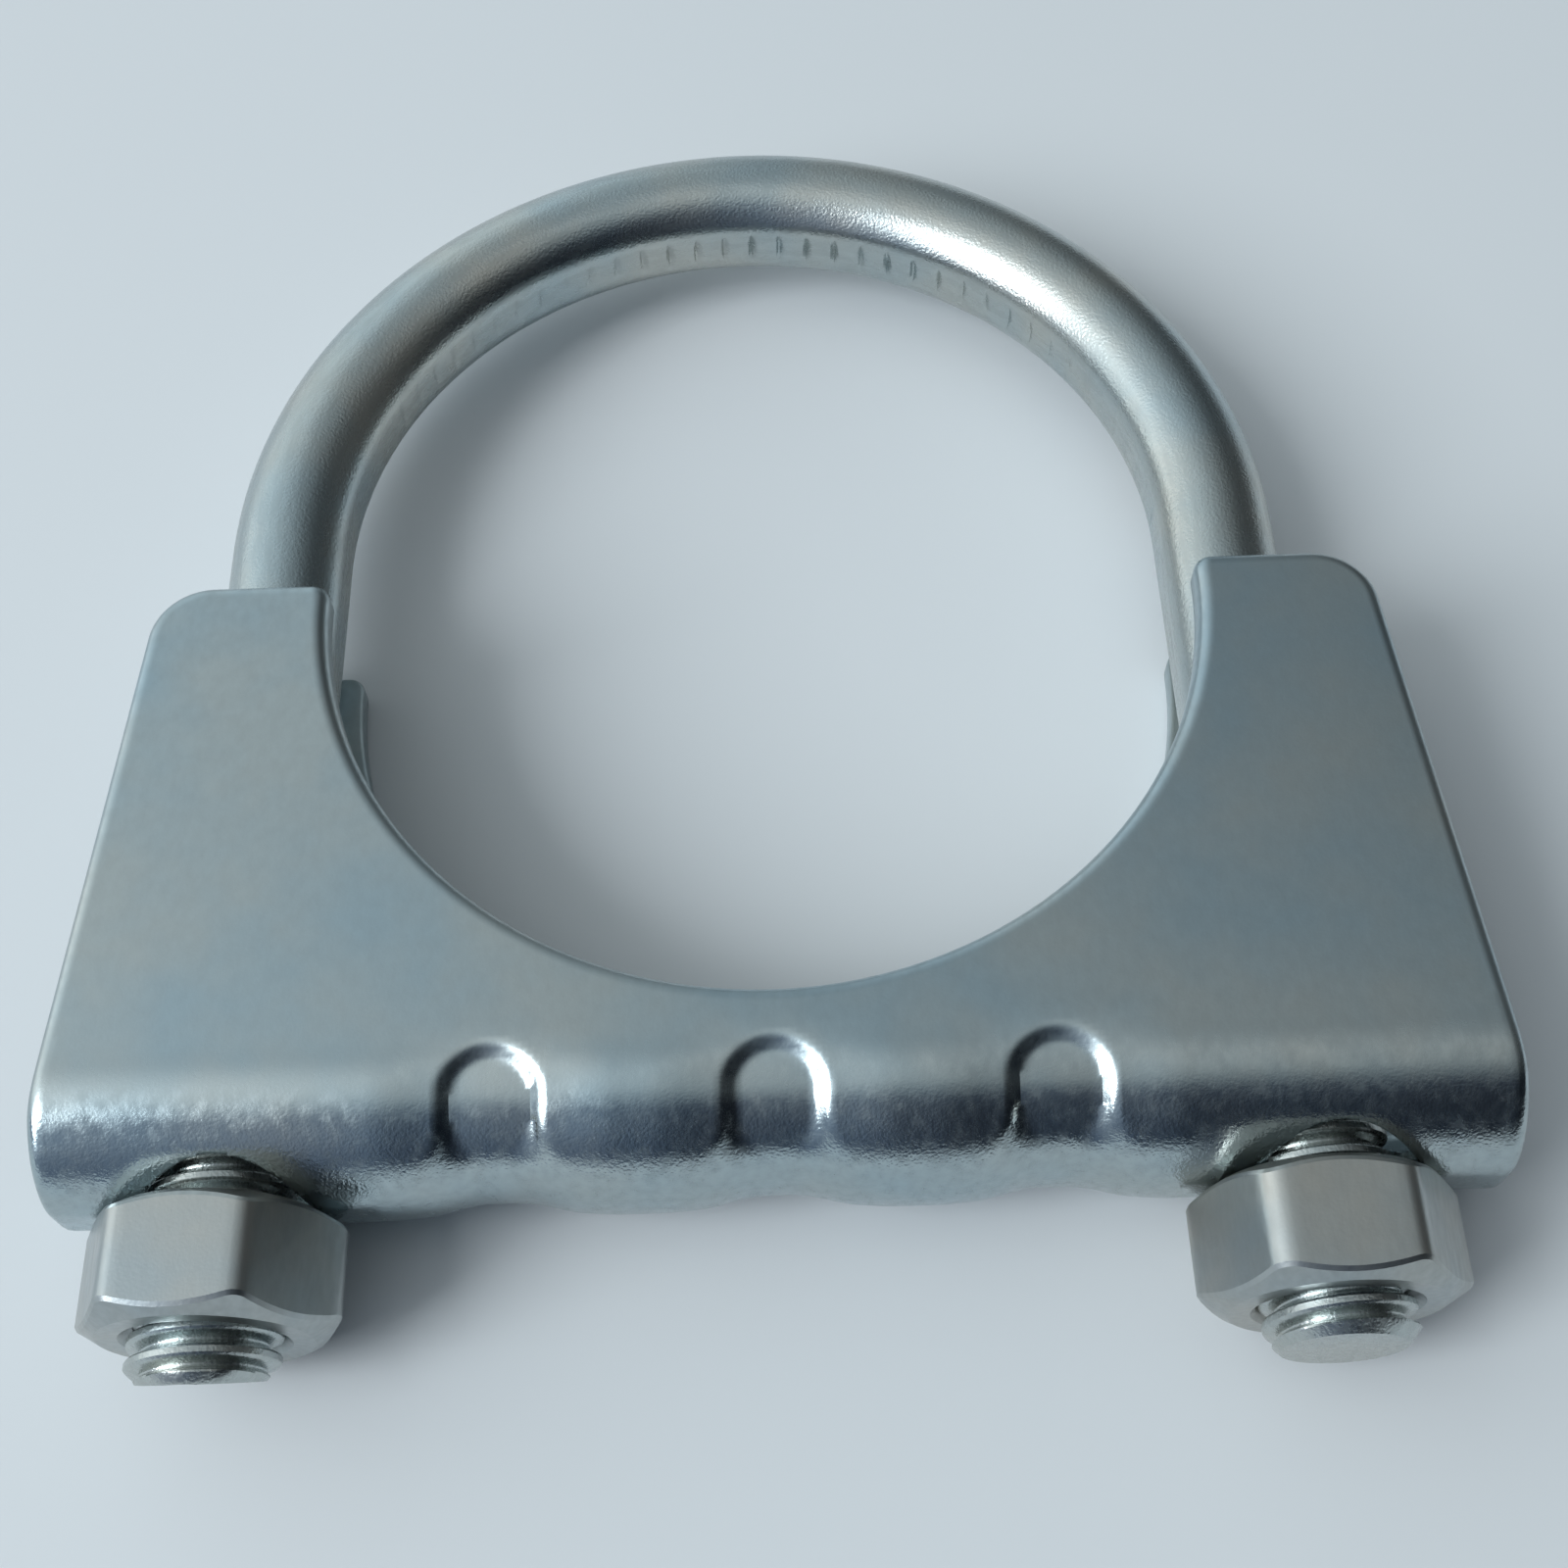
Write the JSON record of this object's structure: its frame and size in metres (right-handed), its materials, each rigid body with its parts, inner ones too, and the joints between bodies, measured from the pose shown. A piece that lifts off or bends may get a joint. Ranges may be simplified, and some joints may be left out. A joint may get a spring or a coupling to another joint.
{
  "type": "u-bolt exhaust clamp",
  "caption": "U-bolt exhaust clamp: a bent threaded rod, a folded saddle with a round cut-out and a fluted fold, and hex nuts that draw the saddle up round a pipe.",
  "frame": {"origin": "centre of the U-bolt's bend, on the axis of the pipe and in the plane of the rod", "axes": "+Z along the pipe, out of the front cheek; +Y from the saddle to the crown of the bend; +X across the legs"},
  "size_m": [0.0762, 0.0831, 0.0128],
  "materials": {
    "rod_zinc": "bright zinc plated, satin",
    "sheet_zinc": "blue-passivated zinc plated pressed sheet",
    "nut_zinc": "bright zinc plated, satin"
  },
  "bodies": {
    "u_bolt": {"u_bolt": "rod_zinc"},
    "saddle": {"saddle": "sheet_zinc"},
    "nut_left": {"nut_left": "nut_zinc"},
    "nut_right": {"nut_right": "nut_zinc"}
  },
  "joints": [
    {"name": "saddle_travel", "type": "slide", "parent": "u_bolt", "child": "saddle", "axis": [0, 1, 0], "range_m": [-0.002, 0.0098]},
    {"name": "nut_left_turn", "type": "hinge", "parent": "saddle", "child": "nut_left", "pos_m": [-0.0286, -0.04485, 0], "axis": [0, 1, 0], "range_deg": [-577, 2823]},
    {"name": "nut_right_turn", "type": "hinge", "parent": "saddle", "child": "nut_right", "pos_m": [0.0286, -0.04485, 0], "axis": [0, 1, 0], "range_deg": [-577, 2823]}
  ],
  "couplings": [
    {"joint": "nut_left_turn", "follows": "saddle_travel", "rad_per_m": 5026.5},
    {"joint": "nut_right_turn", "follows": "saddle_travel", "rad_per_m": 5026.5}
  ]
}
